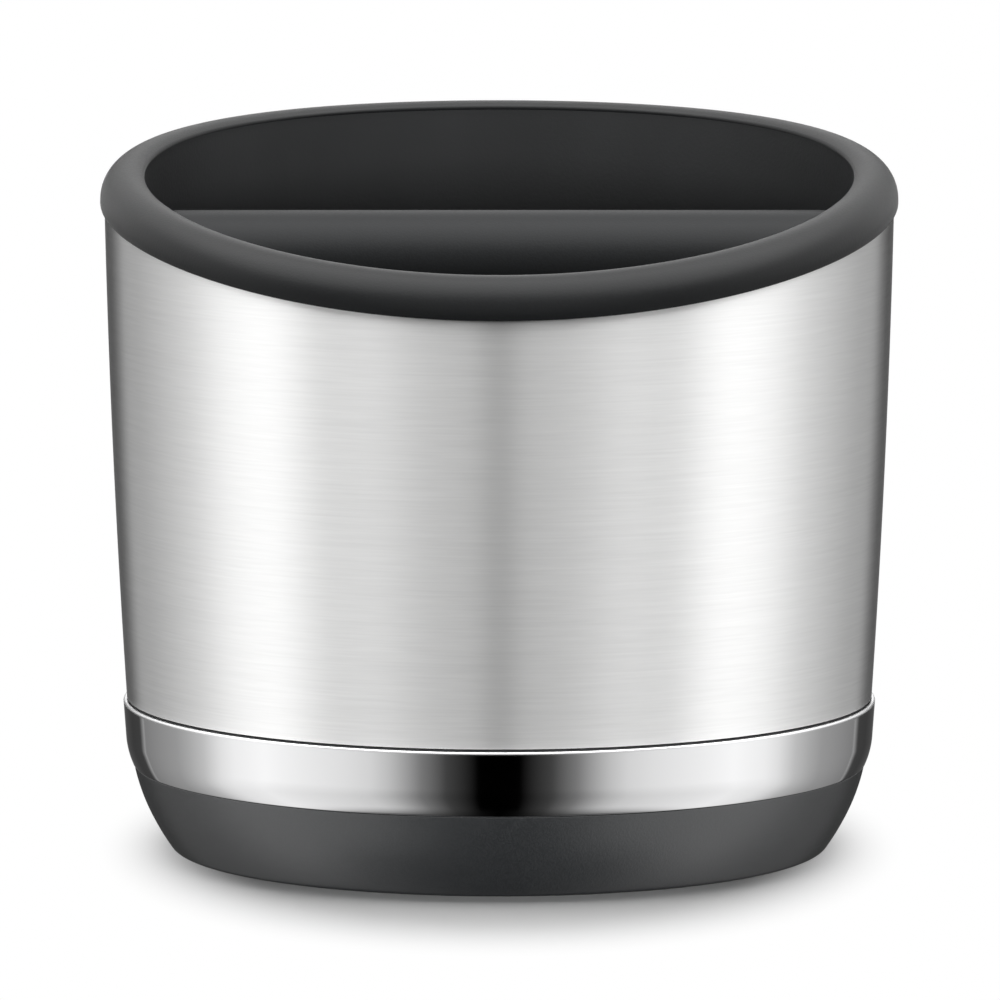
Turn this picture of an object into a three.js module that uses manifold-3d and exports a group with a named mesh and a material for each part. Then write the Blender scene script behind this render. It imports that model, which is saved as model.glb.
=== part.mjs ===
// Espresso knock box: a bin in a brushed steel sleeve, with a swooping soft collar round its mouth
// and a knock bar that lifts out of two cradles.
// Millimetres, +Z up. The origin is the centre of the base on the counter. The lip is low towards -Y.

import * as THREE from 'three';
import { mergeVertices } from 'three/addons/utils/BufferGeometryUtils.js';
import Module from 'manifold-3d';

const wasm = await Module();
wasm.setup();

// Facets
const RING_SEGMENTS = 60;
const BAR_SEGMENTS = 24;
const SCREW_SEGMENTS = 12;
const SLEEVE_ROWS = 4;
const BIN_ROWS = 2;
const BASE_ROWS = 2;
const ARC_STEPS = 4;
const FINE_ARC_STEPS = 2;
const SHOULDER_STEPS = 6;

// Clearances
const SEAT_GAP = 0.3;
const GROOVE_GAP = 0.15;
const HEM_GAP = 0.8;
const BIN_FOOT_GAP = 0.5;
const BAR_END_GAP = 0.6;
const CUT_OVERRUN = 1;
const MERGE_DISTANCE = 0.001;

// Lip line: the seam between the collar and the sleeve, seen from the side
const LIP_FRONT_Z = 96.57;
const LIP_BACK_Z = 114.75;
const LIP_BOW = 3.6;

// Steel sleeve
const SLEEVE_RIM_RADIUS = 66.25;
const SLEEVE_TAPER = 3.45;
const SLEEVE_BULGE = 0.45;
const SLEEVE_FOOT_Z = 25.75;
const SLEEVE_WALL = 0.8;
const HEM_RISE = 1.5;
const HEM_WIDTH = 3.2;
const HEM_INNER_BEND = 0.2;

// Bin
const BIN_WALL = 2.5;
const BIN_CORNER_RADIUS = 8;
const FLANGE_INSET = 1.25;
const FLANGE_THICKNESS = 1.6;
const BOSS_HEIGHT = 5;
const BOSS_RADIUS = 4;

// Collar
const COLLAR_OVERHANG = 0.7;
const COLLAR_HEIGHT = 5.7;
const COLLAR_SIDE = 0.6;
const COLLAR_SKIRT_ROUND = 0.3;
const COLLAR_EDGE_ROUND = 0.65;
const COLLAR_LIP = 0.1;
const COLLAR_LAP = 0.2;

// Trim band
const BAND_GAP = 0.42;
const BAND_HEIGHT = 10.93;
const BAND_PROUD = 0.6;
const BAND_LIP_ROUND = 0.38;
const BAND_LIP_DEPTH = 1.7;
const BAND_LEDGE = 1.6;
const BAND_STRAIGHT = 5.92;
const BAND_TAPER = 0.45;
const BAND_TURN = 1.21;

// Base boot
const BOOT_INSET = 0.13;
const BOOT_TAPER = 6.6;
const BOOT_BULGE = 0.95;
const BOOT_EDGE_ROUND = 1.8;
const BOOT_WALL = 2.3;
const BOOT_SOLE = 2.2;
const SOLE_WIDTH = 7;

// Base frame
const FRAME_WALL = 2;
const FRAME_RIM_INSET = 0.3;
const UPSTAND_HEIGHT = 4.3;
const PLATE_Z = 1.2;
const PLATE_THICKNESS = 3;

// Screws
const SCREW_COUNT = 4;
const SCREW_INSET = 11.7;
const SCREW_RADIUS = 1.5;
const SCREW_HEAD_RADIUS = 2.9;
const SCREW_HEAD_HEIGHT = 1.5;
const SCREW_RECESS_RADIUS = 1.2;
const SCREW_RECESS_DEPTH = 0.8;
const SCREW_REACH = 5.4;

// Knock bar
const BAR_DROP = 12.5;
const BAR_RADIUS = 11;
const CAP_THICKNESS = 2.5;
const CAP_ROUND = 1.4;
const CORE_RADIUS = 6;
const CORE_WALL = 1.2;
const SPIGOT_LENGTH = 10;
const SPIGOT_LEAD = 0.8;
const KEY_WIDTH = 5;
const KEY_RISE = 1.6;
const KEY_LENGTH = 1.7;

// Cradles and buffers
const BUFFER_THICKNESS = 1.5;
const CRADLE_WALL = 2.4;
const CRADLE_REACH = 7.6;
const CHEEK_RISE = 2.5;
const CRADLE_TAPER = 5;

// Finishes
const CHARCOAL = { color: 0x2e3033, roughness: 0.6, metalness: 0 };
const BLACK = { color: 0x1b1c1d, roughness: 0.55, metalness: 0 };
const RUBBER = { color: 0x232426, roughness: 0.8, metalness: 0 };
const BRUSHED = { color: 0xc4c4c2, roughness: 0.3, metalness: 1 };
const CHROME = { color: 0xe2e3e5, roughness: 0.06, metalness: 1 };
const ZINC = { color: 0xa9abad, roughness: 0.35, metalness: 1 };

const point = (x, y) => new THREE.Vector2(x, y);
const halfTurn = Math.PI;
const quarterTurn = Math.PI / 2;

// What follows from the sleeve: the hem, the collar over it and the bin's flange and mouth inside it
const HEM_BEND = SLEEVE_WALL + HEM_INNER_BEND;
const COLLAR_RADIUS = SLEEVE_RIM_RADIUS + COLLAR_OVERHANG;
const COLLAR_SHOULDER = COLLAR_HEIGHT - COLLAR_SKIRT_ROUND - COLLAR_SIDE;
const FLANGE_RADIUS = SLEEVE_RIM_RADIUS - FLANGE_INSET;
const BIN_MOUTH_RADIUS = SLEEVE_RIM_RADIUS - HEM_WIDTH - HEM_GAP - BIN_WALL;
const COLLAR_MOUTH_RADIUS = BIN_MOUTH_RADIUS - COLLAR_LAP;

// The collar's broad shoulder rolls over the crest and runs into the tight round at its inner edge
const SHOULDER_X = COLLAR_RADIUS - COLLAR_SHOULDER;
const EDGE_X = COLLAR_MOUTH_RADIUS + COLLAR_EDGE_ROUND;
const COLLAR_ROLL = Math.asin((SHOULDER_X - EDGE_X) / (COLLAR_SHOULDER - COLLAR_EDGE_ROUND));
const EDGE_DROP = COLLAR_SHOULDER - (COLLAR_SHOULDER - COLLAR_EDGE_ROUND) * Math.cos(COLLAR_ROLL);
const BIN_RIM_RISE = COLLAR_HEIGHT - EDGE_DROP - COLLAR_LIP - GROOVE_GAP;

// The frame's rim under the sleeve's foot, the band on that rim and the boot under the band
const SLEEVE_FOOT_RADIUS = SLEEVE_RIM_RADIUS - SLEEVE_TAPER;
const FRAME_RIM_RADIUS = SLEEVE_FOOT_RADIUS - FRAME_RIM_INSET;
const BAND_RADIUS = SLEEVE_FOOT_RADIUS + BAND_PROUD;
const BAND_BORE_RADIUS = FRAME_RIM_RADIUS - BAND_LEDGE;
const BAND_TOP_Z = SLEEVE_FOOT_Z - BAND_GAP;
const BAND_FOOT_Z = BAND_TOP_Z - BAND_HEIGHT;
const BOOT_TOP_Z = BAND_FOOT_Z - SEAT_GAP;
const BOOT_RADIUS = BAND_RADIUS - BAND_TAPER - BAND_TURN - BOOT_INSET;
const BOOT_FOOT_RADIUS = BOOT_RADIUS - BOOT_TAPER;
const BOOT_LEAN = Math.atan((BOOT_TAPER + 4 * BOOT_BULGE) / BOOT_TOP_Z);
const BOOT_EDGE_Z = BOOT_EDGE_ROUND * (1 - Math.sin(BOOT_LEAN));
const SOLE_RADIUS = bootRadius(BOOT_EDGE_Z) - BOOT_EDGE_ROUND * Math.cos(BOOT_LEAN);
const PLATE_RADIUS = SOLE_RADIUS - SOLE_WIDTH - SEAT_GAP;
const SCREW_CIRCLE_RADIUS = PLATE_RADIUS - SCREW_INSET;

// The bin's floor over its screw bosses, and its foot inside the frame
const FRAME_FLOOR_Z = PLATE_Z + PLATE_THICKNESS;
const BOSS_Z = FRAME_FLOOR_Z + SEAT_GAP;
const SCREW_TIP_Z = BOSS_Z + SCREW_REACH;
const BIN_UNDERSIDE_Z = BOSS_Z + BOSS_HEIGHT;
const BIN_FLOOR_Z = BIN_UNDERSIDE_Z + BIN_WALL;
const FRAME_FOOT_BORE_RADIUS = BOOT_RADIUS - BOOT_WALL - SEAT_GAP - FRAME_WALL;
const BIN_FOOT_RADIUS = FRAME_FOOT_BORE_RADIUS - BIN_FOOT_GAP - BIN_WALL;

// The bar between the bin's walls, and the cradles and buffers round its ends
const LEVEL_Z = lipZ(0);
const BAR_AXIS_Z = LEVEL_Z - BAR_DROP;
const WALL_AT_BAR = binRadius(BAR_AXIS_Z);
const BAR_HALF_LENGTH = Math.sqrt(WALL_AT_BAR ** 2 - (BAR_RADIUS - CAP_ROUND) ** 2) - BAR_END_GAP;
const BUFFER_INNER_RADIUS = BAR_RADIUS + SEAT_GAP;
const BUFFER_OUTER_RADIUS = BUFFER_INNER_RADIUS + BUFFER_THICKNESS;
const CRADLE_INNER_RADIUS = BUFFER_OUTER_RADIUS + SEAT_GAP;
const CRADLE_OUTER_RADIUS = CRADLE_INNER_RADIUS + CRADLE_WALL;
const CRADLE_TOP_Z = BAR_AXIS_Z + CHEEK_RISE;

// Height of the lip line at depth y: a straight fall from back to front, bowed upwards.
function lipZ(y) {
  const share = y / COLLAR_RADIUS;
  const middle = (LIP_FRONT_Z + LIP_BACK_Z) / 2;
  const halfFall = (LIP_BACK_Z - LIP_FRONT_Z) / 2;
  return middle + halfFall * share + LIP_BOW * (1 - share * share);
}

// Outer radius of the sleeve at height z: a straight taper, bulged by a shallow arc.
function sleeveRadius(z) {
  const share = (z - SLEEVE_FOOT_Z) / (LEVEL_Z - SLEEVE_FOOT_Z);
  return SLEEVE_FOOT_RADIUS + SLEEVE_TAPER * share + 4 * SLEEVE_BULGE * share * (1 - share);
}

// Inner radius of the bin at height z: a plain draft.
function binRadius(z) {
  const share = (z - BIN_FLOOR_Z) / (LEVEL_Z - BIN_FLOOR_Z);
  return BIN_FOOT_RADIUS + (BIN_MOUTH_RADIUS - BIN_FOOT_RADIUS) * share;
}

// Outer radius of the boot at height z: a straight taper to the foot, bulged like the sleeve.
function bootRadius(z) {
  const share = z / BOOT_TOP_Z;
  return BOOT_FOOT_RADIUS + BOOT_TAPER * share + 4 * BOOT_BULGE * share * (1 - share);
}

// Evenly spaced values from a to b, both ends included.
function steps(a, b, count) {
  return Array.from({ length: count + 1 }, (_, i) => a + ((b - a) * i) / count);
}

// Points of an arc round a centre, from one angle to another.
function arc(x, y, radius, from, to, count = ARC_STEPS) {
  return steps(from, to, count).map((a) => point(x + radius * Math.cos(a), y + radius * Math.sin(a)));
}

// A geometry with shared vertices and no empty triangles, as a solid that can be joined and cut.
function solid(geometry) {
  const bare = new THREE.BufferGeometry();
  bare.setAttribute('position', geometry.getAttribute('position'));
  if (geometry.index) bare.setIndex(geometry.index);
  const merged = mergeVertices(bare, MERGE_DISTANCE);
  const triangles = [];
  for (let i = 0; i < merged.index.count; i += 3) {
    const [a, b, c] = [0, 1, 2].map((k) => merged.index.getX(i + k));
    if (a !== b && b !== c && c !== a) triangles.push(a, b, c);
  }
  const vertProperties = merged.getAttribute('position').array;
  const triVerts = new Uint32Array(triangles);
  return new wasm.Manifold(new wasm.Mesh({ numProp: 3, vertProperties, triVerts }));
}

// Revolves a profile of radius and height round Z. The profile runs up the outside and down the inside.
function revolve(profile, segments = RING_SEGMENTS) {
  const closed = [...profile];
  const open = profile[0].x > 0 || profile[profile.length - 1].x > 0;
  if (open) closed.push(profile[0].clone());
  return new THREE.LatheGeometry(closed, segments).rotateX(quarterTurn);
}

// Extrudes an outline in Y and Z along X, from x0 to x1.
function extrudeX(outline, x0, x1) {
  const shape = new THREE.Shape(outline);
  const geometry = new THREE.ExtrudeGeometry(shape, { depth: x1 - x0, bevelEnabled: false });
  return geometry.rotateX(quarterTurn).rotateZ(quarterTurn).translate(x0, 0, 0);
}

// Carries a piece that was revolved with a level lip up or down to the real lip line. The rise grows
// evenly from the sleeve's foot to the lip, and the radius follows the sleeve's curve as it rises.
function carryToLip(geometry) {
  const position = geometry.getAttribute('position');
  for (let i = 0; i < position.count; i += 1) {
    const [x, y, z] = [position.getX(i), position.getY(i), position.getZ(i)];
    const radius = Math.hypot(x, y);
    const share = Math.min(1, Math.max(0, (z - SLEEVE_FOOT_Z) / (LEVEL_Z - SLEEVE_FOOT_Z)));
    const raised = z + share * (lipZ(y) - LEVEL_Z);
    const wider = radius > 0 ? 1 + (sleeveRadius(raised) - sleeveRadius(z)) / radius : 1;
    position.setXYZ(i, x * wider, y * wider, raised);
  }
  return geometry;
}

// Cuts tools out of a solid.
function cut(body, tools) {
  return tools.reduce((rest, tool) => rest.subtract(tool), body);
}

function mesh(name, made, finish) {
  const { vertProperties, triVerts } = made.getMesh();
  const geometry = new THREE.BufferGeometry();
  geometry.setAttribute('position', new THREE.BufferAttribute(vertProperties, 3));
  geometry.setIndex(new THREE.BufferAttribute(triVerts, 1));
  geometry.computeVertexNormals();
  const piece = new THREE.Mesh(geometry, new THREE.MeshStandardMaterial(finish));
  piece.name = name;
  return piece;
}

// The brushed sleeve, with its top edge bent in under the collar as a hem.
function steelSleeve() {
  const top = LEVEL_Z + HEM_RISE;
  const rows = steps(SLEEVE_FOOT_Z, top - HEM_BEND, SLEEVE_ROWS);
  const bendX = sleeveRadius(top - HEM_BEND) - HEM_BEND;
  const hemX = sleeveRadius(top) - HEM_WIDTH;
  const innerBend = HEM_BEND - SLEEVE_WALL;
  const profile = [
    ...rows.map((z) => point(sleeveRadius(z), z)),
    ...arc(bendX, top - HEM_BEND, HEM_BEND, 0, quarterTurn, FINE_ARC_STEPS).slice(1),
    point(hemX, top),
    point(hemX, top - SLEEVE_WALL),
    point(bendX, top - SLEEVE_WALL),
    point(bendX + innerBend, top - HEM_BEND),
    ...rows.slice(0, -1).reverse().map((z) => point(sleeveRadius(z) - SLEEVE_WALL, z)),
  ];
  return solid(carryToLip(revolve(profile)));
}

// The collar wraps the hem and the bin's flange, and caps the bin's wall.
function rimCollar() {
  const crest = LEVEL_Z + COLLAR_HEIGHT;
  const skirt = SLEEVE_RIM_RADIUS + GROOVE_GAP;
  const skirtX = COLLAR_RADIUS - COLLAR_SKIRT_ROUND;
  const rolled = quarterTurn + COLLAR_ROLL;
  const hemCeiling = LEVEL_Z + HEM_RISE + SEAT_GAP;
  const flangeCeiling = hemCeiling + FLANGE_THICKNESS + SEAT_GAP;
  const wallCeiling = LEVEL_Z + BIN_RIM_RISE + GROOVE_GAP;
  const profile = [
    ...arc(skirtX, LEVEL_Z + COLLAR_SKIRT_ROUND, COLLAR_SKIRT_ROUND, -quarterTurn, 0, 1),
    ...arc(SHOULDER_X, crest - COLLAR_SHOULDER, COLLAR_SHOULDER, 0, rolled, SHOULDER_STEPS),
    ...arc(EDGE_X, crest - EDGE_DROP, COLLAR_EDGE_ROUND, rolled, halfTurn, FINE_ARC_STEPS).slice(1),
    point(COLLAR_MOUTH_RADIUS, wallCeiling),
    point(BIN_MOUTH_RADIUS + BIN_WALL + SEAT_GAP, wallCeiling),
    point(BIN_MOUTH_RADIUS + BIN_WALL + SEAT_GAP, flangeCeiling),
    point(FLANGE_RADIUS + SEAT_GAP, flangeCeiling),
    point(FLANGE_RADIUS + SEAT_GAP, hemCeiling),
    point(skirt, hemCeiling),
    point(skirt, LEVEL_Z),
  ];
  return solid(carryToLip(revolve(profile)));
}

const boltAngles = Array.from({ length: SCREW_COUNT }, (_, i) => ((i + 0.5) * 2 * Math.PI) / SCREW_COUNT);

// A plain round post or hole at each screw, from one height to another.
function postsAtScrews(radius, z0, z1) {
  return boltAngles.map((angle) => {
    const post = revolve([point(0, z0), point(radius, z0), point(radius, z1), point(0, z1)], SCREW_SEGMENTS);
    post.translate(SCREW_CIRCLE_RADIUS * Math.cos(angle), SCREW_CIRCLE_RADIUS * Math.sin(angle), 0);
    return solid(post);
  });
}

// A U in Y and Z round the bar's axis, open at the top: a half round below, and straight cheeks.
function uOutline(radius, topZ) {
  return [
    ...arc(0, BAR_AXIS_Z, radius, -halfTurn, 0, BAR_SEGMENTS / 2),
    point(radius, topZ),
    point(-radius, topZ),
  ];
}

// One cradle on the +X wall: a U-shaped pocket with a tapered underside, trimmed to the bin's outside.
function cradle(binOutside) {
  const face = WALL_AT_BAR - CRADLE_REACH;
  const back = WALL_AT_BAR + BIN_WALL;
  const block = solid(extrudeX(uOutline(CRADLE_OUTER_RADIUS, CRADLE_TOP_Z), face, back));
  const pocket = solid(extrudeX(uOutline(CRADLE_INNER_RADIUS, CRADLE_TOP_Z + CUT_OVERRUN),
    face - CUT_OVERRUN, back + CUT_OVERRUN));
  const under = BAR_AXIS_Z - CRADLE_OUTER_RADIUS - CUT_OVERRUN;
  const wedge = new THREE.Shape([
    point(face - CUT_OVERRUN, under),
    point(face + CRADLE_TAPER, under),
    point(face - CUT_OVERRUN, under + CRADLE_TAPER + CUT_OVERRUN),
  ]);
  const across = CRADLE_OUTER_RADIUS + CUT_OVERRUN;
  const taper = new THREE.ExtrudeGeometry(wedge, { depth: 2 * across, bevelEnabled: false });
  taper.rotateX(quarterTurn).translate(0, across, 0);
  return cut(block, [pocket, solid(taper)]).intersect(binOutside);
}

// The outside and inside of the bin below its flange, as profiles of radius and height.
function binOuterProfile(top) {
  const cornerX = BIN_FOOT_RADIUS - BIN_CORNER_RADIUS;
  const cornerZ = BIN_FLOOR_Z + BIN_CORNER_RADIUS;
  return [
    point(0, BIN_UNDERSIDE_Z),
    ...arc(cornerX, cornerZ, BIN_CORNER_RADIUS + BIN_WALL, -quarterTurn, 0),
    ...steps(cornerZ, top, BIN_ROWS).slice(1).map((z) => point(binRadius(z) + BIN_WALL, z)),
  ];
}

function binInnerProfile(top) {
  const cornerX = BIN_FOOT_RADIUS - BIN_CORNER_RADIUS;
  const cornerZ = BIN_FLOOR_Z + BIN_CORNER_RADIUS;
  return [
    ...steps(top, cornerZ, BIN_ROWS).slice(0, -1).map((z) => point(binRadius(z), z)),
    ...arc(cornerX, cornerZ, BIN_CORNER_RADIUS, 0, -quarterTurn),
    point(0, BIN_FLOOR_Z),
  ];
}

// The bin: a drafted bucket that hangs by its flange on the sleeve's hem.
function linerBin() {
  const flangeZ = LEVEL_Z + HEM_RISE + SEAT_GAP;
  const rimZ = LEVEL_Z + BIN_RIM_RISE;
  const outside = BIN_MOUTH_RADIUS + BIN_WALL;
  const profile = [
    ...binOuterProfile(LEVEL_Z),
    point(outside, flangeZ),
    point(FLANGE_RADIUS, flangeZ),
    point(FLANGE_RADIUS, flangeZ + FLANGE_THICKNESS),
    point(outside, flangeZ + FLANGE_THICKNESS),
    point(outside, rimZ),
    point(BIN_MOUTH_RADIUS, rimZ),
    ...binInnerProfile(LEVEL_Z),
  ];
  const bucket = solid(carryToLip(revolve(profile)));
  const envelope = solid(carryToLip(revolve([...binOuterProfile(LEVEL_Z), point(0, LEVEL_Z)])));
  const right = cradle(envelope);
  const left = right.mirror([1, 0, 0]);
  const bosses = postsAtScrews(BOSS_RADIUS, BOSS_Z, BIN_UNDERSIDE_Z + BIN_WALL / 2);
  const holes = postsAtScrews(SCREW_RADIUS + SEAT_GAP, BOSS_Z - CUT_OVERRUN, SCREW_TIP_Z + SEAT_GAP);
  return cut([right, left, ...bosses].reduce((whole, piece) => whole.add(piece), bucket), holes);
}

// A rubber buffer lines each cradle. Its notch clears the bar's key.
function buffer() {
  const face = WALL_AT_BAR - CRADLE_REACH;
  const atCheek = Math.sqrt(WALL_AT_BAR ** 2 - BUFFER_OUTER_RADIUS ** 2) - SEAT_GAP;
  const outer = solid(extrudeX(uOutline(BUFFER_OUTER_RADIUS, CRADLE_TOP_Z), face, atCheek));
  const inner = solid(extrudeX(uOutline(BUFFER_INNER_RADIUS, CRADLE_TOP_Z + CUT_OVERRUN),
    face - CUT_OVERRUN, atCheek + CUT_OVERRUN));
  const notchX = BAR_HALF_LENGTH - CAP_THICKNESS - SEAT_GAP;
  const notchLength = atCheek + CUT_OVERRUN - notchX;
  const notchDepth = BUFFER_OUTER_RADIUS + CUT_OVERRUN;
  const notch = new THREE.BoxGeometry(notchLength, KEY_WIDTH + 2 * SEAT_GAP, notchDepth);
  notch.translate(notchX + notchLength / 2, 0, BAR_AXIS_Z - notchDepth / 2);
  return cut(outer, [inner, solid(notch)]);
}

// The chrome band: a thin rolled lip above, a nearly straight face, and a foot that turns in along an
// arc tangent to the leaning face.
function trimBand() {
  const faceZ = BAND_TOP_Z - BAND_LIP_ROUND;
  const turnZ = faceZ - BAND_STRAIGHT;
  const turnHeight = turnZ - BAND_FOOT_Z;
  const lean = Math.atan(BAND_TAPER / BAND_STRAIGHT);
  const turnEnd = 2 * Math.atan(BAND_TURN / turnHeight) - lean;
  const turnRadius = turnHeight / (Math.sin(turnEnd) - Math.sin(lean));
  const turnX = BAND_RADIUS - BAND_TAPER - turnRadius * Math.cos(lean);
  const turnCentreZ = turnZ + turnRadius * Math.sin(lean);
  const lipBore = FRAME_RIM_RADIUS + SEAT_GAP;
  const profile = [
    point(BAND_BORE_RADIUS, BAND_FOOT_Z),
    ...arc(turnX, turnCentreZ, turnRadius, -turnEnd, -lean),
    point(BAND_RADIUS, faceZ),
    ...arc(BAND_RADIUS - BAND_LIP_ROUND, faceZ, BAND_LIP_ROUND, 0, quarterTurn, FINE_ARC_STEPS).slice(1),
    point(lipBore, BAND_TOP_Z),
    point(lipBore, BAND_TOP_Z - BAND_LIP_DEPTH),
    point(BAND_BORE_RADIUS, BAND_TOP_Z - BAND_LIP_DEPTH),
  ];
  return solid(revolve(profile));
}

// The boot wraps the frame's lower wall and turns under it as a ring that grips the counter.
function baseBoot() {
  const soleInner = SOLE_RADIUS - SOLE_WIDTH;
  const inside = (z) => bootRadius(z) - BOOT_WALL;
  const rows = steps(BOOT_EDGE_Z, BOOT_TOP_Z, 2 * BASE_ROWS);
  const innerRows = steps(BOOT_TOP_Z, BOOT_SOLE, BASE_ROWS);
  const edge = arc(SOLE_RADIUS, BOOT_EDGE_ROUND, BOOT_EDGE_ROUND, -quarterTurn, -BOOT_LEAN, FINE_ARC_STEPS);
  const profile = [
    point(soleInner, 0),
    ...edge.slice(0, -1),
    ...rows.map((z) => point(bootRadius(z), z)),
    ...innerRows.map((z) => point(inside(z), z)),
    point(soleInner, BOOT_SOLE),
  ];
  return solid(revolve(profile));
}

// The frame: a plate, a lower wall inside the boot, a step that carries the band, a rim under the
// sleeve's foot and an upstand inside it.
function baseFrame() {
  const ledgeZ = BOOT_SOLE + SEAT_GAP;
  const outside = (z) => bootRadius(z) - BOOT_WALL - SEAT_GAP;
  const stepX = BAND_BORE_RADIUS - SEAT_GAP;
  const rimTop = SLEEVE_FOOT_Z - SEAT_GAP;
  const rimBottom = BAND_TOP_Z - BAND_LIP_DEPTH + SEAT_GAP;
  const upstandX = SLEEVE_FOOT_RADIUS - SLEEVE_WALL - SEAT_GAP;
  const upstandTop = rimTop + UPSTAND_HEIGHT;
  const boreX = upstandX - FRAME_WALL;
  const profile = [
    point(0, PLATE_Z),
    point(PLATE_RADIUS, PLATE_Z),
    point(PLATE_RADIUS, ledgeZ),
    ...steps(ledgeZ, BAND_FOOT_Z, BASE_ROWS).map((z) => point(outside(z), z)),
    point(stepX, BAND_FOOT_Z),
    point(stepX, rimBottom),
    point(FRAME_RIM_RADIUS, rimBottom),
    point(FRAME_RIM_RADIUS, rimTop),
    point(upstandX, rimTop),
    point(upstandX, upstandTop),
    point(boreX, upstandTop),
    point(boreX, BAND_FOOT_Z + FRAME_WALL),
    ...steps(BAND_FOOT_Z, FRAME_FLOOR_Z, BASE_ROWS).map((z) => point(outside(z) - FRAME_WALL, z)),
    point(0, FRAME_FLOOR_Z),
  ];
  const headSeatZ = PLATE_Z + SCREW_HEAD_HEIGHT + SEAT_GAP;
  const wells = postsAtScrews(SCREW_HEAD_RADIUS + SEAT_GAP, PLATE_Z - CUT_OVERRUN, headSeatZ);
  const holes = postsAtScrews(SCREW_RADIUS + SEAT_GAP, PLATE_Z - CUT_OVERRUN, FRAME_FLOOR_Z + CUT_OVERRUN);
  return cut(solid(revolve(profile)), [...wells, ...holes]);
}

// A pan-head screw with a hexagon recess, head down at the plate's underside.
function baseScrew() {
  const profile = [
    point(0, PLATE_Z),
    point(SCREW_HEAD_RADIUS, PLATE_Z),
    point(SCREW_HEAD_RADIUS, PLATE_Z + SCREW_HEAD_HEIGHT),
    point(SCREW_RADIUS, PLATE_Z + SCREW_HEAD_HEIGHT),
    point(SCREW_RADIUS, SCREW_TIP_Z - SCREW_RADIUS),
    point(SCREW_RADIUS / 2, SCREW_TIP_Z),
    point(0, SCREW_TIP_Z),
  ];
  const depth = 2 * SCREW_RECESS_DEPTH;
  const recess = new THREE.CylinderGeometry(SCREW_RECESS_RADIUS, SCREW_RECESS_RADIUS, depth, 6);
  recess.rotateX(quarterTurn).translate(0, 0, PLATE_Z);
  return cut(solid(revolve(profile, SCREW_SEGMENTS)), [solid(recess)]);
}

// Turns a piece that was revolved round Z onto the bar's axis, with its top end towards +X.
function ontoBarAxis(geometry) {
  return geometry.rotateY(quarterTurn).translate(0, 0, BAR_AXIS_Z);
}

function tubeOnBarAxis(outer, inner, halfLength) {
  const profile = [
    point(outer, -halfLength),
    point(outer, halfLength),
    point(inner, halfLength),
    point(inner, -halfLength),
  ];
  return solid(ontoBarAxis(revolve(profile, BAR_SEGMENTS)));
}

// An end cap: a rounded disc with a spigot that plugs the core and a key that drops into the cradle.
function barCap() {
  const face = BAR_HALF_LENGTH - CAP_THICKNESS;
  const spigot = CORE_RADIUS - CORE_WALL - SEAT_GAP;
  const roundX = BAR_HALF_LENGTH - CAP_ROUND;
  const profile = [
    point(0, face - SPIGOT_LENGTH),
    point(spigot - SPIGOT_LEAD, face - SPIGOT_LENGTH),
    point(spigot, face - SPIGOT_LENGTH + SPIGOT_LEAD),
    point(spigot, face),
    point(BAR_RADIUS, face),
    ...arc(BAR_RADIUS - CAP_ROUND, roundX, CAP_ROUND, 0, quarterTurn, FINE_ARC_STEPS),
    point(0, BAR_HALF_LENGTH),
  ];
  const keyHeight = KEY_RISE + CAP_ROUND;
  const key = new THREE.BoxGeometry(KEY_LENGTH, KEY_WIDTH, keyHeight);
  key.translate(face + KEY_LENGTH / 2, 0, BAR_AXIS_Z - BAR_RADIUS - KEY_RISE + keyHeight / 2);
  return solid(ontoBarAxis(revolve(profile, BAR_SEGMENTS))).add(solid(key));
}

const knockBox = new THREE.Group();

const body = new THREE.Group();
body.add(mesh('liner_bin', linerBin(), BLACK));
body.add(mesh('rim_collar', rimCollar(), CHARCOAL));
body.add(mesh('steel_sleeve', steelSleeve(), BRUSHED));
body.add(mesh('trim_band', trimBand(), CHROME));
body.add(mesh('base_frame', baseFrame(), BLACK));
body.add(mesh('base_boot', baseBoot(), CHARCOAL));
body.add(mesh('buffer_right', buffer(), RUBBER));
body.add(mesh('buffer_left', buffer().mirror([1, 0, 0]), RUBBER));

boltAngles.forEach((angle, i) => {
  const screw = mesh(`base_screw_${i + 1}`, baseScrew(), ZINC);
  screw.position.set(SCREW_CIRCLE_RADIUS * Math.cos(angle), SCREW_CIRCLE_RADIUS * Math.sin(angle), 0);
  body.add(screw);
});

const bar = new THREE.Group();
const sleeveHalf = BAR_HALF_LENGTH - CAP_THICKNESS - SEAT_GAP;
bar.add(mesh('bar_core', tubeOnBarAxis(CORE_RADIUS, CORE_RADIUS - CORE_WALL, sleeveHalf), ZINC));
bar.add(mesh('bar_sleeve', tubeOnBarAxis(BAR_RADIUS, CORE_RADIUS + SEAT_GAP, sleeveHalf), CHARCOAL));
bar.add(mesh('bar_cap_right', barCap(), BLACK));
bar.add(mesh('bar_cap_left', barCap().mirror([1, 0, 0]), BLACK));

knockBox.add(body, bar);

export default knockBox;
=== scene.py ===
"""Countertop knock box: the fine surfaces, finishes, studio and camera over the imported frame.

The frame is in metres with +Z up, and the low side of the lip faces -Y. Outlines are written in
millimetres and scaled once, when a piece is finished.
"""
import math

import bmesh
import bpy
from mathutils import Matrix, Vector


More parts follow.
